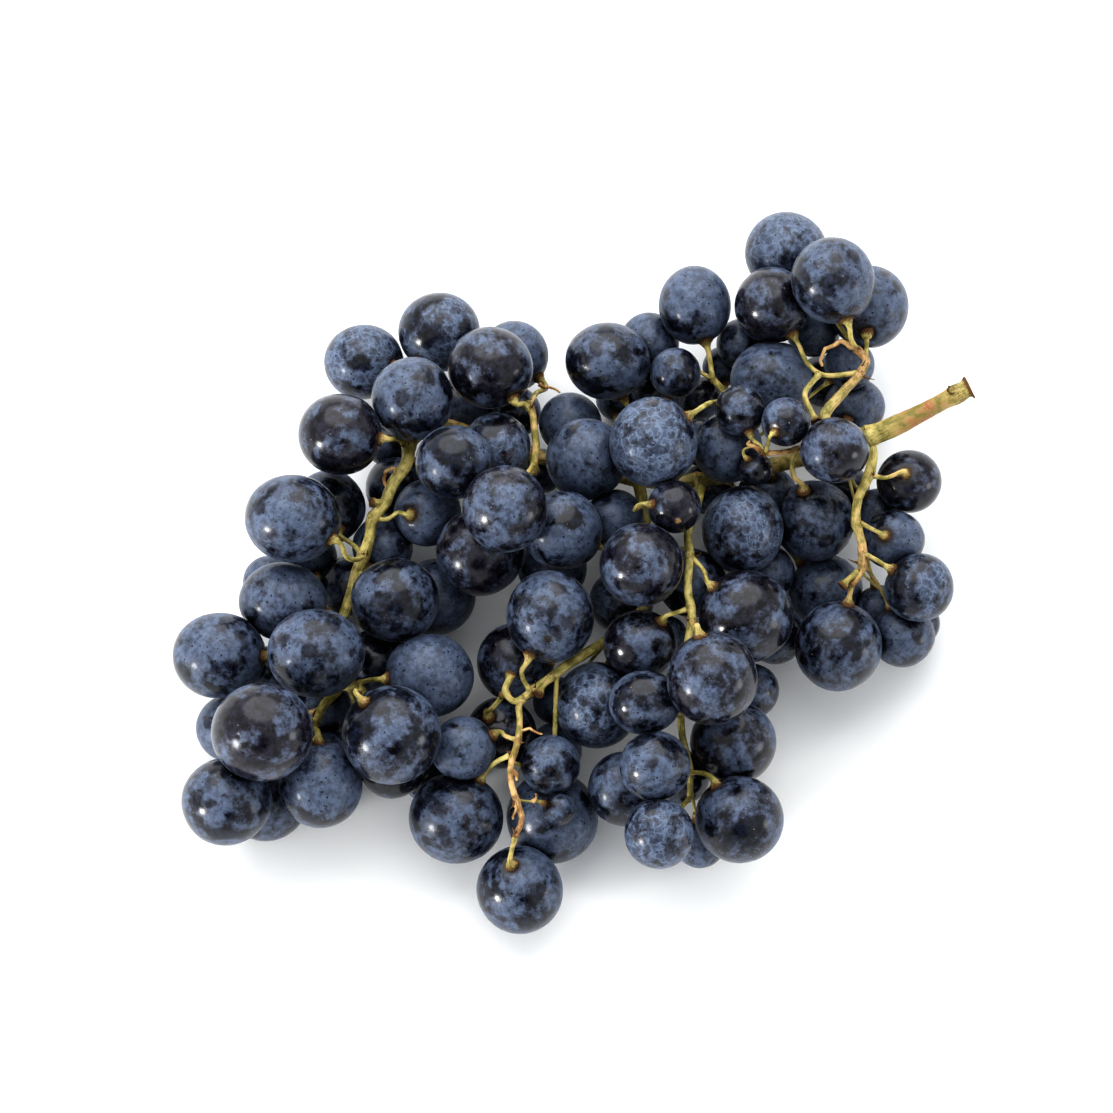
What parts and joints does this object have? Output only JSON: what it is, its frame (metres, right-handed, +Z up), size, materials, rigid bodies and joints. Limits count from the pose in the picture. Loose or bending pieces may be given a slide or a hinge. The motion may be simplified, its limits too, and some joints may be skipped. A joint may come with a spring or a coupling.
{
  "type": "bunch of grapes",
  "caption": "Bunch of dark blue seeded table grapes on its green woody stem, lying on its side, with round berries crowded on short branches and a bare cut stalk.",
  "frame": {"origin": "middle of the bunch's footprint, on the surface it rests on", "axes": "+Z up from the resting surface, +X along the bunch's longest extent towards the cut stalk's side, +Y away from the onlooker of the picture"},
  "size_m": [0.1956, 0.181, 0.057],
  "materials": {
    "green_stem": "matt yellow-green living stem, brown at its ends",
    "berry_skin": "dark blue-black skin under blue-grey waxy bloom, glossy where rubbed"
  },
  "bodies": {
    "root": {"rachis": "green_stem", "shoulder_top": "berry_skin", "shoulder_side": "berry_skin", "small_fruit": "berry_skin", "upper_middle": "berry_skin", "middle_side": "berry_skin", "lower_middle": "berry_skin", "lower": "berry_skin", "top_left": "berry_skin", "centre": "berry_skin", "left_wing": "berry_skin", "left_side": "berry_skin", "left_end": "berry_skin", "left_lower": "berry_skin"}
  },
  "joints": []
}
